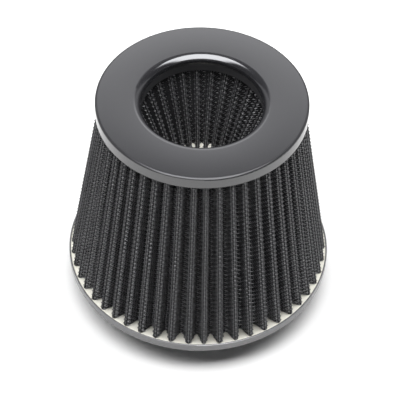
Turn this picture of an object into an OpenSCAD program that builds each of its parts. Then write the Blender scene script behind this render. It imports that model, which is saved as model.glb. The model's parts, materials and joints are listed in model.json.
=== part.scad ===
// Cone air filter with a second, inverted cone inside its open top.
// Air enters through both pleated cones and leaves through the neck.
// All sizes are in millimetres. The origin is the centre of the neck's lower end, +Z is up.

/* [Overall] */
// Height from the lower end of the neck to the top face of the cap
overall_h = 137.6; // [120:0.2:170]

/* [Neck] */
// Inside radius of the neck
neck_bore_r = 38; // [32:0.5:44]
// Sheet thickness of the neck
neck_wall = 1.2; // [0.8:0.1:2]
// How far the neck stands below the rim of the pan
neck_drop = 14; // [8:0.5:25]
// Radius of the bend from the tube into the flange, on the air side
neck_bend_r = 3; // [2.2:0.1:5]
// Width of the flat part of the flange that lies on the pan
neck_flange_w = 7; // [4:0.5:10]
// Chamfer at the lower end of the tube
neck_chamfer = 0.3; // [0.1:0.05:0.5]
// Clearance between the bend of the neck and the hole in the pan
neck_hole_gap = 0.2; // [0.1:0.05:0.5]

/* [Base pan] */
// Outside radius of the pan
pan_r = 75; // [70:0.5:90]
// Height of the rim, from its lower edge to its lip
pan_rim_h = 5.4; // [4.6:0.1:8]
// Sheet thickness of the pan
pan_sheet = 0.8; // [0.6:0.05:1.2]
// Outside radius of the bends in the pan
pan_bend_r = 0.6; // [0.4:0.1:2]
// Width of the potting trough round the edge of the pan, between its outer faces
pan_trough_w = 14.5; // [12:0.5:18]
// Height that the plate in the middle stands above the floor of the trough
pan_step_h = 4; // [3.2:0.1:6]
// Radius on the two edges of the lip
pan_lip_r = 0.3; // [0.1:0.05:0.3]

/* [Base potting] */
// Depth of the potting in the trough
base_seal_t = 3.8; // [2.5:0.1:3.8]

/* [Top cap] */
// Outside radius of the cap
cap_r = 57.8; // [55:0.1:66]
// Sheet thickness of the cap
cap_sheet = 0.8; // [0.6:0.05:1.2]
// Height of the outer skirt, from the top face of the cap
cap_skirt_h = 7; // [5:0.1:12]
// Outside radius of the cap's outer edge
cap_edge_r = 1.3; // [1:0.1:3]
// Inside radius of the throat, the hole through the cap
throat_r = 33; // [30:0.5:37]
// Outside radius of the lip that rolls into the throat
throat_lip_r = 4.1; // [2.5:0.1:6]
// Depth of the throat, from the top face of the cap to the edge of its skirt
throat_h = 10; // [8:0.1:14]

/* [Top potting] */
// Depth of the potting under the cap
top_seal_t = 5; // [4:0.1:6]

/* [Outer pack] */
// Number of pleats in the outer pack
outer_pleats = 50; // [40:1:56]
// Depth of a pleat, from a tip to a valley of the outer face
outer_depth = 7.3; // [5:0.1:8]
// Room between the tips of the pleats and the wall of the pan
outer_foot_gap = 0.2; // [0.1:0.1:2]
// Room between the tips of the pleats and the skirt of the cap
outer_head_gap = 0.7; // [0.3:0.1:2]
// Thickness of the wire screen on the outer face
outer_screen_t = 0.4; // [0.3:0.05:0.6]
// Thickness of the gauze behind the screen
outer_gauze_t = 0.8; // [0.5:0.05:1]
// Radius inside the folds at the tips of the pleats
outer_bend_r = 0.6; // [0.3:0.05:0.8]
// Radius of the folds in the valleys, on the face that shows
outer_valley_r = 0.9; // [0.5:0.05:1.1]

/* [Inner pack] */
// Number of pleats in the inner pack
inner_pleats = 28; // [22:1:30]
// Depth of a pleat, from a crest to a valley of the inner face
inner_depth = 5; // [4:0.1:6]
// Radius of the crests at the closed end
inner_tip_r = 17.6; // [17:0.1:24]
// Depth of the inner cone, from the top face of the cap to the potting in its end
inner_cone_h = 57.4; // [40:0.2:75]
// Room between the crests of the pleats and the outside of the throat
inner_head_gap = 3.4; // [1:0.1:4.5]
// Thickness of the wire screen on the inner face
inner_screen_t = 0.4; // [0.3:0.05:0.5]
// Thickness of the gauze behind the screen
inner_gauze_t = 0.6; // [0.4:0.05:0.7]
// Radius inside the folds at the crests of the pleats
inner_bend_r = 0.4; // [0.2:0.05:0.5]
// Radius of the folds in the valleys, on the face that shows
inner_valley_r = 0.6; // [0.4:0.05:0.8]
// Turn of the inner pack about its axis, in degrees
inner_turn = -2; // [-15:0.5:15]

/* [Tip cup] */
// Sheet thickness of the cup that closes the inner cone
cup_sheet = 0.8; // [0.6:0.05:1.2]
// Height of the cup's wall above the potting
cup_lip_h = 2.2; // [1:0.1:5]
// Depth of the potting in the cup
tip_seal_t = 4; // [2.5:0.1:6]
// Least room between the folds of the pack and the wall of the cup
cup_gap = 0.4; // [0.2:0.1:2]
// Outside radius of the bend round the bottom of the cup
cup_bend_r = 2; // [1.3:0.1:3]

/* [Hidden] */

// Steps along the visible bend of a fold and along the bend behind it
bend_steps = 4;
back_steps = 2;
// How far a cutting shape runs past the face that it cuts
cut = 1;
$fn = 96;

// Heights, from the bottom up
pan_z = neck_drop;
trough_z = pan_z + pan_sheet;
plate_z = pan_z + pan_step_h;
flange_z = plate_z + pan_sheet;
foot_z = trough_z + base_seal_t;
cap_under_z = overall_h - cap_sheet;
head_z = cap_under_z - top_seal_t;
tip_z = overall_h - inner_cone_h;
cup_z = tip_z - tip_seal_t - cup_sheet;

// Radii
pan_step_r = pan_r - pan_trough_w;
neck_hole_r = neck_bore_r + neck_bend_r + neck_hole_gap;
neck_flange_r = neck_bore_r + neck_bend_r + neck_flange_w;
outer_foot_r = pan_r - pan_sheet - outer_foot_gap;
outer_head_r = cap_r - cap_sheet - outer_head_gap;
inner_head_r = throat_r + cap_sheet + inner_head_gap;

// Radii of the tips and crests on the face that shows
outer_fold_r = outer_bend_r + outer_screen_t + outer_gauze_t;
inner_fold_r = inner_bend_r + inner_screen_t + inner_gauze_t;

// The inner pack widens from its tip, so the cup clears its folds where the cup's wall ends
inner_spread = (inner_head_r - inner_tip_r) / (head_z - tip_z);
inner_far_r = inner_tip_r + inner_depth + inner_screen_t + inner_gauze_t;
cup_in_r = inner_far_r + inner_spread * cup_lip_h + cup_gap;

// Points of one bend: an arc of n steps about centre c, for surface normals from a0 to a1,
// where side is 1 for a bend outwards and -1 for a bend inwards
function bend(c, r, a0, a1, n, side) =
    [for (i = [0 : n]) let (a = a0 + (a1 - a0) * i / n) c + side * r * [cos(a), sin(a)]];

// A closed pleated outline: n pleats whose outward bends have their centres at out_c and
// radius out_r, and whose inward bends have their centres at in_c and radius in_r.
// Straight flanks touch both arcs, so outlines with the same centres and the same sum of
// radii are parallel to each other.
function pleat_outline(n, out_c, out_r, out_n, in_c, in_r, in_n) =
    let (half = 180 / n,
         gap = [out_c - in_c * cos(half), in_c * sin(half)],
         lean = atan2(gap[1], gap[0]) - asin((out_r + in_r) / norm(gap)),
         sweep = 90 - lean)
    [for (k = [0 : n - 1])
        let (a = 2 * half * k)
        each concat(
            bend(out_c * [cos(a), sin(a)], out_r, a - sweep, a + sweep, out_n, 1),
            bend(in_c * [cos(a + half), sin(a + half)], in_r,
                 a + sweep, a + 2 * half - sweep, in_n, -1))];

// The outline of the outer pack whose outer face has its tips at radius r, set in by depth d
function outer_outline(r, d) =
    pleat_outline(outer_pleats, r - outer_fold_r, outer_fold_r - d, bend_steps,
                  r - outer_depth + outer_valley_r, outer_valley_r + d, back_steps);

// The outline of the inner pack whose inner face has its crests at radius r, set out by depth d
function inner_outline(r, d) =
    pleat_outline(inner_pleats, r + inner_depth - inner_valley_r, inner_valley_r + d, back_steps,
                  r + inner_fold_r, inner_fold_r - d, bend_steps);

function lift(outline, z) = [for (p = outline) [p[0], p[1], z]];

// A closed pleated wall between a face that looks outwards and a face that looks inwards,
// each given by its outline at the bottom and at the top
module pleated_wall(out_low, out_high, in_low, in_high, z_low, z_high) {
    n = len(out_low);
    polyhedron(
        points = concat(lift(out_low, z_low), lift(out_high, z_high),
                        lift(in_low, z_low), lift(in_high, z_high)),
        faces = [for (i = [0 : n - 1])
            let (j = (i + 1) % n, ol = 0, oh = n, il = 2 * n, ih = 3 * n)
            each [[ol + i, oh + i, oh + j], [ol + i, oh + j, ol + j],
                  [il + i, ih + j, ih + i], [il + i, il + j, ih + j],
                  [ol + i, ol + j, il + j], [ol + i, il + j, il + i],
                  [oh + i, ih + j, oh + j], [oh + i, ih + i, ih + j]]],
        convexity = 10);
}

// What a round corner of radius r takes off a square one at the origin
module corner_waste(r) {
    difference() {
        translate([-cut, -cut]) square(r + cut);
        translate([r, r]) circle(r);
    }
}

// A section from [x0, z0] to [x1, z1], each corner with its own radius
module soft_rect(x0, z0, x1, z1, bl = 0, br = 0, tr = 0, tl = 0) {
    difference() {
        translate([x0, z0]) square([x1 - x0, z1 - z0]);
        if (bl > 0) translate([x0, z0]) corner_waste(bl);
        if (br > 0) translate([x1, z0]) rotate(90) corner_waste(br);
        if (tr > 0) translate([x1, z1]) rotate(180) corner_waste(tr);
        if (tl > 0) translate([x0, z1]) rotate(270) corner_waste(tl);
    }
}

// Everything under the skin of the cap, set in by a depth
module under_cap(inset, z_low) {
    soft_rect(throat_r + inset, z_low, cap_r - inset, overall_h - inset,
              tr = cap_edge_r - inset, tl = throat_lip_r - inset);
}

// Pressed ring with a flat top face, a skirt outside and a lip rolled into the throat
module top_cap() {
    throat_z = overall_h - throat_h;
    skirt_z = overall_h - cap_skirt_h;
    low_z = min(throat_z, skirt_z);
    middle_r = (throat_r + cap_r) / 2;
    color("#3b3b3e")
    rotate_extrude()
    difference() {
        under_cap(0, low_z);
        under_cap(cap_sheet, low_z - cut);
        translate([middle_r, low_z - cut]) square([cap_r, skirt_z - low_z + cut]);
        translate([0, low_z - cut]) square([middle_r, throat_z - low_z + cut]);
    }
}

// Potting that bonds the heads of both packs into the cap
module top_seal() {
    color("#c9c7bb")
    rotate_extrude()
    difference() {
        under_cap(cap_sheet, head_z);
        translate([0, 0]) square([throat_r, head_z]);
    }
}

// Wire screen on the outer face of the outer pack
module outer_screen() {
    color("#2b2b2d")
    pleated_wall(outer_outline(outer_foot_r, 0), outer_outline(outer_head_r, 0),
                 outer_outline(outer_foot_r, outer_screen_t),
                 outer_outline(outer_head_r, outer_screen_t), foot_z, head_z);
}

// Cotton gauze pleated together with the screen in front of it
module outer_gauze() {
    back = outer_screen_t + outer_gauze_t;
    color("#1b1b1d")
    pleated_wall(outer_outline(outer_foot_r, outer_screen_t),
                 outer_outline(outer_head_r, outer_screen_t),
                 outer_outline(outer_foot_r, back), outer_outline(outer_head_r, back),
                 foot_z, head_z);
}

// Wire screen on the inner face of the inner pack
module inner_screen() {
    color("#2b2b2d")
    rotate(inner_turn)
    pleated_wall(inner_outline(inner_tip_r, inner_screen_t),
                 inner_outline(inner_head_r, inner_screen_t),
                 inner_outline(inner_tip_r, 0), inner_outline(inner_head_r, 0), tip_z, head_z);
}

// Cotton gauze round the outside of the inner screen
module inner_gauze() {
    back = inner_screen_t + inner_gauze_t;
    color("#1b1b1d")
    rotate(inner_turn)
    pleated_wall(inner_outline(inner_tip_r, back), inner_outline(inner_head_r, back),
                 inner_outline(inner_tip_r, inner_screen_t),
                 inner_outline(inner_head_r, inner_screen_t), tip_z, head_z);
}

// Pressed cup that closes the lower end of the inner cone
module tip_cup() {
    color("#58585b")
    rotate_extrude()
    difference() {
        soft_rect(0, cup_z, cup_in_r + cup_sheet, tip_z + cup_lip_h, br = cup_bend_r);
        soft_rect(-cut, cup_z + cup_sheet, cup_in_r, tip_z + cup_lip_h + cut,
                  br = cup_bend_r - cup_sheet);
    }
}

// Potting in the cup, which the inner pack stands on
module tip_seal() {
    color("#d9d6c8")
    rotate_extrude()
    soft_rect(0, cup_z + cup_sheet, cup_in_r, tip_z, br = cup_bend_r - cup_sheet);
}

// The space inside the trough of the pan, set in by a depth
module in_trough(inset, z_high) {
    soft_rect(pan_step_r + inset, pan_z + inset, pan_r - inset, z_high,
              bl = pan_bend_r - inset, br = pan_bend_r - inset);
}

// Pressed pan: a trough for the potting, a step up and a plate with the neck's hole
module base_pan() {
    lip_z = pan_z + pan_rim_h;
    step_top_r = pan_step_r + pan_sheet;
    join_z = pan_z + pan_step_h / 2;
    color("#8b8b8e")
    rotate_extrude()
    union() {
        // floor and lower walls of the trough
        difference() {
            in_trough(0, join_z);
            in_trough(pan_sheet, join_z + cut);
        }
        // rim
        soft_rect(pan_r - pan_sheet, join_z, pan_r, lip_z, tr = pan_lip_r, tl = pan_lip_r);
        // step and plate
        difference() {
            soft_rect(neck_hole_r, join_z, step_top_r, flange_z, tr = pan_bend_r);
            soft_rect(neck_hole_r - cut, join_z - cut, pan_step_r, plate_z,
                      tr = pan_bend_r - pan_sheet);
        }
    }
}

// Potting in the trough, which the outer pack stands on
module base_seal() {
    color("#e3e0d2")
    rotate_extrude()
    in_trough(pan_sheet, foot_z);
}

// Neck: a tube with a flange that lies on the plate of the pan
module neck_collar() {
    top_z = flange_z + neck_wall;
    outer_r = neck_bore_r + neck_wall;
    color("#8b8b8e")
    rotate_extrude()
    difference() {
        soft_rect(neck_bore_r, 0, neck_flange_r, top_z, tl = neck_bend_r);
        soft_rect(outer_r, -cut, neck_flange_r + cut, flange_z, tl = neck_bend_r - neck_wall);
        translate([outer_r, 0]) rotate(45) square(neck_chamfer * sqrt(2), center = true);
    }
}

top_cap();
top_seal();
outer_screen();
outer_gauze();
inner_screen();
inner_gauze();
tip_cup();
tip_seal();
base_pan();
base_seal();
neck_collar();
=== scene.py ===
import json
import math

import bpy
import numpy as np
from mathutils import Matrix, Vector

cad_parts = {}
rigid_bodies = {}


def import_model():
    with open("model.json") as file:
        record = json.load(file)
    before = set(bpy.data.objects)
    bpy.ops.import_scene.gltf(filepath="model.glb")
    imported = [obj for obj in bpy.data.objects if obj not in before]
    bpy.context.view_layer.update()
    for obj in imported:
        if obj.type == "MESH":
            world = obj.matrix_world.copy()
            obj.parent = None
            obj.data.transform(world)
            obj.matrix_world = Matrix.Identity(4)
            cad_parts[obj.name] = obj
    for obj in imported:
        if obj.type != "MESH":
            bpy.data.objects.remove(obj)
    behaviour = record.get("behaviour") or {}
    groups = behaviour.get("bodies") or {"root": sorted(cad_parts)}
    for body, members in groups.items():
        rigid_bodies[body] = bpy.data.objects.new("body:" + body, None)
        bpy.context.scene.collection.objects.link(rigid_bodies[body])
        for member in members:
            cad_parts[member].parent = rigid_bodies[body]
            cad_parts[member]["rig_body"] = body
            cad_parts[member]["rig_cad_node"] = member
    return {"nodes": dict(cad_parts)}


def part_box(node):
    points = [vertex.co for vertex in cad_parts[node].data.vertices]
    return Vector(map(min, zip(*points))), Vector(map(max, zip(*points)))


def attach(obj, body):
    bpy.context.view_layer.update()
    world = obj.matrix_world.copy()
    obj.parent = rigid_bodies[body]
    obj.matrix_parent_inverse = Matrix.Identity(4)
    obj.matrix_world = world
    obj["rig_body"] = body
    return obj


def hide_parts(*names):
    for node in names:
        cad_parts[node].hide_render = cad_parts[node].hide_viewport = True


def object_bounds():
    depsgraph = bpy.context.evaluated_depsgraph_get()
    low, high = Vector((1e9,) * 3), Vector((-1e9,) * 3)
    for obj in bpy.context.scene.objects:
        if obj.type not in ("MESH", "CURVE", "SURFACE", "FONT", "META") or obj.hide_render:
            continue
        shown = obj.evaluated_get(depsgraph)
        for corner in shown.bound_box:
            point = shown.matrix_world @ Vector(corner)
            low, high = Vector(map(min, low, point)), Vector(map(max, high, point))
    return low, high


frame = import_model()
nodes = frame["nodes"]
cad_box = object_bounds()
MM = 0.001

# The two pleated packs. Counts and bends are the part's own; radii and heights come from the frame.
# gauze_side is 1 where the gauze lies outside the screen. crest says which bends face the viewer: 0
# for the tips, 1 for the valleys. Away from those, the wires lie deeper by sink. per_pleat counts the
# wires along one pleat, and bands the pieces that the wires round the pack are split into.
SCREEN_T = 0.4 * MM          # thickness of the wire screen
OUTER = dict(node="outer_screen", gauze_side=-1, crest=0, sink=0, pleats=50, per_pleat=11, bands=3,
             tip_bend=1.6 * MM, valley_bend=1.1 * MM)
INNER = dict(node="inner_screen", gauze_side=1, crest=1, sink=0.45 * MM, pleats=28, per_pleat=8,
             bands=1, tip_bend=0.8 * MM, valley_bend=1.2 * MM)

# Pleats that are spread by hand are uneven. Each wave shifts them round the axis by a size in
# radians, a number of times a turn, from a start at the foot and one at the head of the pack.
SMALL_WAVES = ((0.0035, 7, 0.4, 1.0), (0.0030, 16, 2.1, 2.9), (0.0022, 21, 4.0, 4.4))
UNEVEN = {"outer": SMALL_WAVES, "inner": SMALL_WAVES + ((0.024, 2, -1.8, -1.8),)}

# Woven wire. The wires round the pack are thicker and crimped more than real ones, so that the weave
# shows in a picture of the whole filter.
ACROSS_R = 0.27 * MM         # radius of a coated wire that runs round the pack
ALONG_R = 0.14 * MM          # the same for one along the pleats
WEAVE_PITCH = 1.45 * MM      # from one wire to the next
WEAVE_SWING = 0.45 * MM      # how far a crimped wire swings to either side of the gauze's face
ALONG_ROWS = 14              # points of a wire along the pleats
SUNK = 0.6 * MM              # how deep the wires run into the potting at either end

# Enamel of the cap
CROWN_R = 47 * MM            # middle of the flat ring
CROWN = 0.72                 # fall in metres per square metre of the way from there
EDGE_START = (56.4 * MM, 56.7 * MM)    # radii between which the outer bend turns dull
EDGE_END = (57.55 * MM, 57.7 * MM)     # radii between which the skirt turns glossy again
EDGE_DULL = 0.65             # share of bare enamel on the bend
# Below these heights, inside the throat, the enamel is painted shade: dull, with no reflections.
THROAT_SHADE = (cad_box[1].z - 6 * MM, cad_box[1].z - 4 * MM)    # heights, dull below

# Studio
LENS = 172.9                 # mm, on a 36 mm sensor
ELEVATION = math.radians(48.134)
DISTANCE = 1.09177           # from the point that is in the middle of the picture
AIM = Vector((0.0003, 0, 0.05703))
ROLL = math.radians(1.611)
LAMP_WAY = (-0.02, 0.1, 1)   # towards the overhead lamp
LAMP_SIZE = (2.8, 1.1)
LAMP_POWER = 48
SPOT_ELEVATION = math.radians(58)
SPOT_POWER = 47
SPOT_R = 0.038               # radius of the lit circle in the throat
LIGHT_DISTANCE = 1.2         # of both lamps from the filter's middle
FLOOR_SHADE = 0.9            # of the white paper
FLOOR_SEEN = 0.04            # lighter by this for the camera
FLOOR_MIRRORED = 0.13        # and by this in glossy surfaces

# What glossy surfaces mirror. Angles run from the horizon behind the filter, over the top, towards
# the camera; sides are shares of a unit vector. Each pair is the start and end of a soft edge.
FILL = 0.05                  # for all that isn't mirrored
MIRROR_TINT = (0.965, 0.97, 1, 1)
BACKDROP = 2.5
CEILING = 0.3
DIM = 0.3                    # share of the backdrop's light that is left at its foot and sides
SOFT_BOX = 9.5
BACKDROP_EDGE = (math.radians(39), math.radians(51))
BACKDROP_FOOT = (math.radians(5), math.radians(38))
BACKDROP_SIDE = (0.1, 0.35)
SOFT_BOX_BACK = (math.radians(84), math.radians(88))
SOFT_BOX_FRONT = (math.radians(150), math.radians(162))
SOFT_BOX_SIDE = (0.46, 0.72)
SOFT_BOX_SHIFT = 0.03        # to the right


def select_only(piece):
    """Makes a piece the only selected one, and the active one."""
    bpy.ops.object.select_all(action="DESELECT")
    piece.select_set(True)
    bpy.context.view_layer.objects.active = piece


def active_piece(name):
    """The piece that an operator has just made or changed, under its own name."""
    piece = bpy.context.view_layer.objects.active
    piece.name = name
    piece.data.name = name
    return piece


# Places

def points_of(piece):
    """All vertices of a mesh as an array."""
    co = np.zeros(len(piece.data.vertices) * 3)
    piece.data.vertices.foreach_get("co", co)
    return co.reshape(-1, 3)


def ring_of(node, z):
    """Radii and angles of a node's vertices at a height."""
    co = points_of(nodes[node])
    co = co[np.abs(co[:, 2] - z) < 0.01 * MM]
    return np.hypot(co[:, 0], co[:, 1]), np.arctan2(co[:, 1], co[:, 0])


def pleat_round(pleats, tip_r, valley_r, tip_bend, valley_bend, crossings):
    """One round of a pleated sheet: points spaced evenly along it and its outward normals, as
    complex numbers. Bends at the tips and in the valleys are joined by straight flanks."""
    half = math.pi / pleats
    tip_c = tip_r - tip_bend
    valley_c = valley_r + valley_bend
    gap = complex(tip_c - valley_c * math.cos(half), valley_c * math.sin(half))
    bends = tip_bend + valley_bend
    sweep = math.pi / 2 - math.atan2(gap.imag, gap.real) + math.asin(bends / abs(gap))
    flank = math.sqrt(abs(gap) ** 2 - bends ** 2)
    tip_length = tip_bend * sweep
    length = tip_length + flank + valley_bend * (sweep - half)
    share = np.arange(crossings) * 2 / crossings
    past_valley = share > 1
    run = length * np.minimum(share, 2 - share)
    turned = np.clip(run / tip_bend, 0, sweep)
    straight = np.clip(run - tip_length, 0, flank)
    back = sweep - np.clip(run - tip_length - flank, 0, None) / valley_bend
    at_sweep = np.exp(1j * sweep)
    p = tip_c + tip_bend * np.exp(1j * turned) + 1j * straight * at_sweep
    p = p + valley_bend * (at_sweep - np.exp(1j * back))
    n = np.exp(1j * (turned + back - sweep))
    mirror = np.exp(2j * half)
    p = np.where(past_valley, np.conj(p) * mirror, p)
    n = np.where(past_valley, np.conj(n) * mirror, n)
    turns = mirror ** np.arange(pleats)
    return np.outer(turns, p).ravel(), np.outer(turns, n).ravel()


def screen_round(pack, z, crossings):
    """One round along the middle of a pack's wire screen, at the height of its foot or head."""
    radii, angles = ring_of(pack["node"], z)
    tips = angles[radii > radii.max() - 0.01 * MM]
    turn = tips[np.argmin(np.abs(tips))]
    p, n = pleat_round(pack["pleats"], radii.max() - SCREEN_T / 2, radii.min() + SCREEN_T / 2,
                       pack["tip_bend"], pack["valley_bend"], crossings)
    return p * np.exp(1j * turn), n * np.exp(1j * turn)


def spread_by_hand(co, node):
    """Shifts the points of a pack's layer round the axis, by the waves of its pack."""
    low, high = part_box(node)
    p = co[:, 0] + 1j * co[:, 1]
    around = np.angle(p)
    height = (co[:, 2] - low.z) / (high.z - low.z)
    shift = np.zeros(len(co))
    for size, count, at_foot, at_head in UNEVEN[node.split("_")[0]]:
        foot = size * np.sin(count * around + at_foot)
        head = size * np.sin(count * around + at_head)
        shift += foot + (head - foot) * height
    p = p * np.exp(1j * shift)
    return np.stack([p.real, p.imag, co[:, 2]], 1)


# Woven wire screens

def as_wires(name, radius):
    """Turns the edges of the active mesh into closed wires. Each has four sides, shaded as round."""
    bpy.ops.object.convert(target="CURVE")
    wire = bpy.context.view_layer.objects.active.data
    wire.bevel_depth = radius
    wire.bevel_resolution = 0
    wire.use_fill_caps = True
    for spline in wire.splines:
        spline.use_smooth = True
    bpy.ops.object.convert(target="MESH")
    return active_piece(name)


def cross_wires(name, rows):
    """Wires that run round the pack, one for each row of points."""
    count, crossings = rows.shape[:2]
    bpy.ops.object.select_all(action="DESELECT")
    bpy.ops.mesh.primitive_circle_add(vertices=crossings, radius=cad_box[1].x)
    bpy.ops.object.mode_set(mode="EDIT")
    for _ in range(count - 1):
        bpy.ops.mesh.duplicate()
    bpy.ops.object.mode_set(mode="OBJECT")
    ring = bpy.context.view_layer.objects.active
    ring.data.vertices.foreach_set("co", rows.ravel())
    return as_wires(name, ACROSS_R)


def long_wires(name, rows):
    """Wires that run along the pleats, one through each column of points."""
    count, crossings = rows.shape[:2]
    bpy.ops.object.select_all(action="DESELECT")
    bpy.ops.mesh.primitive_grid_add(x_subdivisions=crossings - 1, y_subdivisions=count - 1, size=1)
    sheet = bpy.context.view_layer.objects.active
    place = points_of(sheet)
    column = np.rint((place[:, 0] + 0.5) * (crossings - 1)).astype(int)
    row = np.rint((place[:, 1] + 0.5) * (count - 1)).astype(int)
    bpy.ops.object.mode_set(mode="EDIT")
    bpy.ops.mesh.select_mode(type="EDGE")
    bpy.ops.mesh.select_all(action="DESELECT")
    bpy.ops.object.mode_set(mode="OBJECT")
    for edge in sheet.data.edges:
        a, b = edge.vertices
        edge.select = bool(column[a] != column[b])
    bpy.ops.object.mode_set(mode="EDIT")
    bpy.ops.mesh.delete(type="EDGE")
    bpy.ops.object.mode_set(mode="OBJECT")
    sheet.data.vertices.foreach_set("co", rows[row, column].ravel())
    return as_wires(name, ALONG_R)


def woven_screen(pack, finish):
    """The wire cloth of a pack. Its wires along the pleats lie on the gauze. Those that run round
    it are crimped: each passes over every second one of them and sinks into the gauze under the
    next, so a pattern of knuckles shows."""
    low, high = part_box(pack["node"])
    per_pleat = pack["per_pleat"]
    crossings = per_pleat * pack["pleats"]
    foot, foot_out = screen_round(pack, low.z, per_pleat)
    head, head_out = screen_round(pack, high.z, per_pleat)
    slant = math.hypot(high.z - low.z, abs(foot[0]) - abs(head[0]))
    # Wires from each crossing to the nearest crest
    off_crest = np.abs(np.arange(per_pleat) * 2 / per_pleat - pack["crest"])
    off_crest = np.minimum(off_crest, 2 - off_crest) * per_pleat / 2
    sink = np.tile(np.clip(off_crest - 1, 0, 1), pack["pleats"]) * pack["sink"]
    over_under = np.where(np.arange(crossings) % 2, 1.0, -1.0) * WEAVE_SWING

    def rows_of(count, swing):
        """Rows of points from foot to head, each swung to the other side of the one before."""
        rows = []
        for row, share in enumerate(np.linspace(-SUNK / slant, 1 + SUNK / slant, count)):
            out = foot_out + (head_out - foot_out) * share
            face = foot + (head - foot) * share + out * pack["gauze_side"] * (SCREEN_T / 2 + sink)
            p = face + out * swing * (-1) ** row
            z = np.full(crossings, low.z + (high.z - low.z) * share)
            rows.append(spread_by_hand(np.stack([p.real, p.imag, z], 1), pack["node"]))
        return np.array(rows)

    stem = pack["node"].replace("screen", "wires")
    made = []
    across = rows_of(round((slant + 2 * SUNK) / WEAVE_PITCH), over_under)
    for band, part in enumerate(np.array_split(across[1:-1], pack["bands"])):
        made.append(cross_wires(f"{stem}_across_{band + 1}", part))
    made.append(long_wires(f"{stem}_along", rows_of(ALONG_ROWS, 0)))
    for piece in made:
        dress(piece, finish, "wire_screen", pack["node"])


# Materials

def paint(code):
    """An sRGB hex colour as linear RGBA."""
    parts = [int(code[i:i + 2], 16) / 255 for i in (1, 3, 5)]
    return [c / 12.92 if c <= 0.04045 else ((c + 0.055) / 1.055) ** 2.4 for c in parts] + [1]


def add(tree, kind, inputs=None, **settings):
    """Adds a shader node. An input is a value, or the socket that is linked to it."""
    node = tree.nodes.new("ShaderNode" + kind)
    for key, value in settings.items():
        setattr(node, key, value)
    for key, value in (inputs or {}).items():
        if isinstance(value, bpy.types.NodeSocket):
            tree.links.new(value, node.inputs[key])
        else:
            node.inputs[key].default_value = value
    return node


def new_finish(name):
    """An empty material, with its node tree and the object's own coordinates."""
    finish = bpy.data.materials.new(name)
    finish.use_nodes = True
    tree = finish.node_tree
    tree.nodes.clear()
    return finish, tree, add(tree, "TexCoord").outputs["Object"]


def finish_with(tree, shader):
    """Ends a material's tree with its shader."""
    add(tree, "OutputMaterial", {"Surface": shader.outputs[0]})


def shade_range(tree, factor, low, high):
    """A colour between two others, by a pattern's factor."""
    mix = add(tree, "Mix", {"Factor": factor}, data_type="RGBA")
    mix.inputs[6].default_value = paint(low)
    mix.inputs[7].default_value = paint(high)
    return mix.outputs[2]


def edge(tree, value, start, end, low, high):
    """A number that runs smoothly from low to high as a value runs from start to end."""
    step = add(tree, "MapRange", {"Value": value, "From Min": start, "From Max": end, "To Min": low,
                                  "To Max": high}, interpolation_type="SMOOTHSTEP")
    return step.outputs[0]


def enamel_coat(tree, place, dark, light, roughness, pressed=None):
    """Enamel sprayed on pressed steel and stoved: strong reflections with soft edges, and a faint
    orange peel that is 1 to 2 mm across."""
    peel = add(tree, "TexNoise", {"Vector": place, "Scale": 1 / (2.2 * MM), "Detail": 1.0})
    cloud = add(tree, "TexNoise", {"Vector": place, "Scale": 1 / (30 * MM), "Detail": 3.0})
    rough = add(tree, "MapRange", {"Value": cloud.outputs["Fac"], "To Min": roughness - 0.02,
                                   "To Max": roughness + 0.03})
    bump = add(tree, "Bump", {"Height": peel.outputs["Fac"], "Strength": 0.05, "Distance": 0.02 * MM})
    if pressed:
        tree.links.new(pressed.outputs[0], bump.inputs["Normal"])
    return add(tree, "BsdfPrincipled", {
        "Base Color": shade_range(tree, cloud.outputs["Fac"], dark, light),
        "Roughness": rough.outputs[0], "IOR": 1.5, "Specular IOR Level": 1.0,
        "Normal": bump.outputs[0]})


def black_enamel():
    # The cap's black enamel. The press leaves its flat ring crowned by 0.06 mm. Little enamel stays
    # on the outer bend, so it is dull. The inner side of the throat is dull as well, as painted shade:
    # its reflections are taken away so that it stays as dark as the shaded throat.
    finish, tree, place = new_finish("black_stoved_enamel")
    parts = add(tree, "SeparateXYZ", {"Vector": place})
    flat = add(tree, "CombineXYZ", {"X": parts.outputs["X"], "Y": parts.outputs["Y"]})
    radius = add(tree, "VectorMath", {0: flat.outputs[0]}, operation="LENGTH").outputs["Value"]
    off = add(tree, "Math", {0: radius, 1: CROWN_R}, operation="SUBTRACT").outputs[0]
    square = add(tree, "Math", {0: off, 1: off}, operation="MULTIPLY").outputs[0]
    crown = add(tree, "Math", {0: square, 1: -CROWN}, operation="MULTIPLY")
    pressed = add(tree, "Bump", {"Height": crown.outputs[0], "Distance": 1.0})
    coat = enamel_coat(tree, place, "#222225", "#272729", 0.13, pressed)
    start = edge(tree, radius, *EDGE_START, 0.0, EDGE_DULL)
    end = edge(tree, radius, *EDGE_END, 1.0, 0.0)
    bend = add(tree, "Math", {0: start, 1: end}, operation="MULTIPLY").outputs[0]
    # Painted shade: inside the throat and below these heights, the enamel turns dull and dark.
    below = edge(tree, parts.outputs["Z"], *THROAT_SHADE, 1.0, 0.0)
    inside = add(tree, "Math", {0: radius, 1: CROWN_R}, operation="LESS_THAN").outputs[0]
    throat_shade = add(tree, "Math", {0: below, 1: inside}, operation="MULTIPLY").outputs[0]
    dull_bend_and_shade = add(tree, "Math", {0: bend, 1: throat_shade}, operation="MAXIMUM").outputs[0]
    bare = add(tree, "BsdfDiffuse", {"Color": paint("#3c3c3e")})
    finish_with(tree, add(tree, "MixShader", {0: dull_bend_and_shade, 1: coat.outputs[0], 2: bare.outputs[0]}))
    return finish


def grey_enamel():
    # The grey enamel of the pan, the neck and the tip cup.
    finish, tree, place = new_finish("grey_stoved_enamel")
    finish_with(tree, enamel_coat(tree, place, "#606062", "#666668", 0.25))
    return finish


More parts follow.
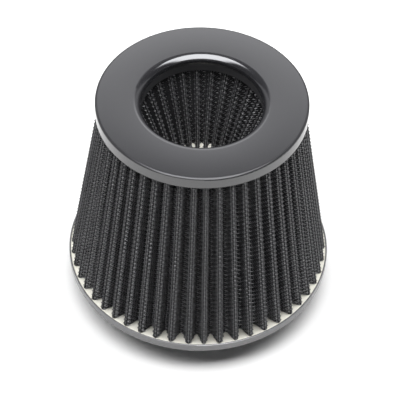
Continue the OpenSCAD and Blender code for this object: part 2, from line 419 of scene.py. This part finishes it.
def coated_wire():
    # Steel wire in black epoxy: a thick, slightly lumpy satin coat.
    finish, tree, place = new_finish("black_epoxy_coated_wire")
    lumps = add(tree, "TexNoise", {"Vector": place, "Scale": 1 / (0.5 * MM), "Detail": 2.0})
    bump = add(tree, "Bump", {"Height": lumps.outputs["Fac"], "Strength": 0.3, "Distance": 0.05 * MM})
    finish_with(tree, add(tree, "BsdfPrincipled", {
        "Base Color": shade_range(tree, lumps.outputs["Fac"], "#3b3b3d", "#48484a"),
        "Roughness": 0.3, "IOR": 1.5, "Specular IOR Level": 1.0, "Normal": bump.outputs[0]}))
    return finish


def cotton_gauze():
    # Black dyed cotton gauze: soft threads half a millimetre apart and no gloss.
    finish, tree, place = new_finish("black_cotton_gauze")
    # A wave texture has a band every 2 pi / 20 over its scale
    thread = add(tree, "TexWave", {"Vector": place, "Scale": 2 * math.pi / 20 / (0.5 * MM),
                                   "Distortion": 1.5, "Detail": 1.0}, bands_direction="Z")
    fluff = add(tree, "TexNoise", {"Vector": place, "Scale": 1 / (0.4 * MM), "Detail": 3.0})
    height = add(tree, "Math", {0: thread.outputs["Fac"], 1: fluff.outputs["Fac"]}, operation="ADD")
    bump = add(tree, "Bump", {"Height": height.outputs[0], "Strength": 0.6, "Distance": 0.1 * MM})
    finish_with(tree, add(tree, "BsdfPrincipled", {
        "Base Color": shade_range(tree, fluff.outputs["Fac"], "#151516", "#202021"),
        "Roughness": 0.95, "IOR": 1.45, "Specular IOR Level": 0.2, "Normal": bump.outputs[0]}))
    return finish


def cast_polyurethane():
    # Off-white polyurethane potting, cast in the pan: matt skin with slow waves and a few pits.
    finish, tree, place = new_finish("cast_polyurethane")
    waves = add(tree, "TexNoise", {"Vector": place, "Scale": 1 / (6 * MM), "Detail": 2.0})
    pits = add(tree, "TexVoronoi", {"Vector": place, "Scale": 1 / (2.5 * MM)})
    pit = add(tree, "MapRange", {"Value": pits.outputs["Distance"], "From Max": 0.12})
    height = add(tree, "Math", {0: waves.outputs["Fac"], 1: pit.outputs[0]}, operation="ADD")
    bump = add(tree, "Bump", {"Height": height.outputs[0], "Strength": 0.4, "Distance": 0.15 * MM})
    finish_with(tree, add(tree, "BsdfPrincipled", {
        "Base Color": shade_range(tree, waves.outputs["Fac"], "#f6f3e6", "#fdfbf2"),
        "Roughness": 0.6, "IOR": 1.5, "Normal": bump.outputs[0]}))
    return finish


def dress(piece, finish, slot, *replaced):
    """Gives a piece its finish and its body, and hides the nodes that it stands for. The slot is not
    used.
    """
    piece.data.materials.clear()
    piece.data.materials.append(finish)
    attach(piece, "root")
    if replaced:
        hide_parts(*replaced)


# The pleated gauze behind the wires

def gauze_layer(node, finish):
    """A copy of a gauze node with its seams closed and its pleats spread as the wires are."""
    select_only(nodes[node])
    bpy.ops.object.duplicate()
    layer = active_piece(node + "_cloth")
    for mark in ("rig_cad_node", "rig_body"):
        del layer[mark]
    layer.parent = None
    select_only(layer)
    bpy.ops.mesh.customdata_custom_splitnormals_clear()
    bpy.ops.object.mode_set(mode="EDIT")
    bpy.ops.mesh.select_all(action="SELECT")
    bpy.ops.mesh.remove_doubles(threshold=0.001 * MM)
    bpy.ops.object.mode_set(mode="OBJECT")
    layer.data.vertices.foreach_set("co", spread_by_hand(points_of(layer), node).ravel())
    bpy.ops.object.shade_smooth_by_angle(angle=math.radians(40))
    dress(layer, finish, "gauze", node)


# Camera and light

def studio_camera():
    back = Vector((0, -math.cos(ELEVATION), math.sin(ELEVATION)))
    bpy.ops.object.camera_add(location=AIM + back * DISTANCE)
    camera = bpy.context.view_layer.objects.active
    camera.rotation_mode = "QUATERNION"
    upright = (-back).to_track_quat("-Z", "Y")
    camera.rotation_quaternion = upright @ Matrix.Rotation(ROLL, 3, "Z").to_quaternion()
    camera.data.lens = LENS
    camera.data.sensor_width = 36
    camera.data.clip_start = 0.05
    bpy.context.scene.camera = camera


def lamp_from(kind, direction, power):
    """A lamp that faces the filter from a direction and isn't mirrored."""
    away = Vector(direction).normalized()
    bpy.ops.object.light_add(type=kind, location=Vector((0, 0, 0.1)) + away * LIGHT_DISTANCE,
                             rotation=(-away).to_track_quat("-Z", "Y").to_euler())
    lamp = bpy.context.view_layer.objects.active
    lamp.data.energy = power
    lamp.visible_glossy = False
    return lamp.data


def overhead_lamp():
    lamp = lamp_from("AREA", LAMP_WAY, LAMP_POWER)
    lamp.shape = "RECTANGLE"
    lamp.size, lamp.size_y = LAMP_SIZE


def throat_spot():
    """A narrow spot from above the camera into the throat. It reaches nothing else."""
    way = (0, -math.cos(SPOT_ELEVATION), math.sin(SPOT_ELEVATION))
    spot = lamp_from("SPOT", way, SPOT_POWER)
    spot.shadow_soft_size = 0.05
    spot.spot_size = 2 * math.atan(SPOT_R / LIGHT_DISTANCE)
    spot.spot_blend = 0.5


def white_floor():
    bpy.ops.object.select_all(action="DESELECT")
    bpy.ops.mesh.primitive_plane_add(size=6)
    floor = active_piece("studio_floor")
    finish, tree, _ = new_finish("white_paper")
    seen = add(tree, "LightPath")
    shade = add(tree, "Math", {0: seen.outputs["Is Camera Ray"], 1: FLOOR_SEEN, 2: FLOOR_SHADE},
                operation="MULTIPLY_ADD").outputs[0]
    shade = add(tree, "Math", {0: seen.outputs["Is Glossy Ray"], 1: FLOOR_MIRRORED, 2: shade},
                operation="MULTIPLY_ADD").outputs[0]
    colour = add(tree, "CombineXYZ", {"X": shade, "Y": shade, "Z": shade})
    finish_with(tree, add(tree, "BsdfDiffuse", {"Color": colour.outputs[0]}))
    floor.data.materials.append(finish)


def studio_world():
    """White for the camera, a weak even fill, and what glossy surfaces mirror: a lit backdrop
    behind the filter, a dim ceiling and a wide soft box from overhead towards the camera."""
    world = bpy.data.worlds.new("studio")
    bpy.context.scene.world = world
    world.use_nodes = True
    tree = world.node_tree
    tree.nodes.clear()
    way = add(tree, "SeparateXYZ", {"Vector": add(tree, "TexCoord").outputs["Generated"]})
    over = add(tree, "Math", {0: way.outputs["Z"], 1: way.outputs["Y"]}, operation="ARCTAN2").outputs[0]
    shifted = add(tree, "Math", {0: way.outputs["X"], 1: SOFT_BOX_SHIFT}, operation="SUBTRACT")
    aside = add(tree, "Math", {0: shifted.outputs[0]}, operation="ABSOLUTE").outputs[0]
    foot = edge(tree, over, *BACKDROP_FOOT, DIM, 1.0)
    edges = edge(tree, aside, *BACKDROP_SIDE, 1.0, DIM)
    lit = add(tree, "Math", {0: foot, 1: edges}, operation="MULTIPLY").outputs[0]
    backdrop = edge(tree, over, *BACKDROP_EDGE, BACKDROP, CEILING)
    backdrop = add(tree, "Math", {0: backdrop, 1: lit}, operation="MULTIPLY").outputs[0]
    near = edge(tree, over, *SOFT_BOX_BACK, 0.0, SOFT_BOX)
    far = edge(tree, over, *SOFT_BOX_FRONT, 1.0, 0.0)
    side = edge(tree, aside, *SOFT_BOX_SIDE, 1.0, 0.0)
    box = add(tree, "Math", {0: near, 1: far}, operation="MULTIPLY").outputs[0]
    box = add(tree, "Math", {0: box, 1: side}, operation="MULTIPLY").outputs[0]
    mirrored = add(tree, "Math", {0: box, 1: backdrop}, operation="ADD").outputs[0]
    seen = add(tree, "LightPath").outputs
    white = add(tree, "Background", {"Color": (1, 1, 1, 1), "Strength": 1.0})
    fill = add(tree, "Background", {"Color": (1, 1, 1, 1), "Strength": FILL})
    around = add(tree, "Background", {"Color": MIRROR_TINT, "Strength": mirrored})
    mix = add(tree, "MixShader", {0: seen["Is Glossy Ray"], 1: fill.outputs[0], 2: around.outputs[0]})
    mix = add(tree, "MixShader", {0: seen["Is Camera Ray"], 1: mix.outputs[0], 2: white.outputs[0]})
    add(tree, "OutputWorld", {"Surface": mix.outputs[0]})


cap_enamel = black_enamel()
pan_enamel = grey_enamel()
wire = coated_wire()
gauze = cotton_gauze()
potting = cast_polyurethane()

for node, finish in (("top_cap", cap_enamel), ("tip_cup", pan_enamel), ("base_pan", pan_enamel),
                     ("neck_collar", pan_enamel), ("top_seal", potting), ("tip_seal", potting),
                     ("base_seal", potting)):
    nodes[node].data.materials.clear()
    nodes[node].data.materials.append(finish)

for node in ("outer_gauze", "inner_gauze"):
    gauze_layer(node, gauze)
woven_screen(OUTER, wire)
woven_screen(INNER, wire)

white_floor()
studio_world()
studio_camera()
overhead_lamp()
throat_spot()
bpy.context.scene.view_settings.view_transform = "Standard"
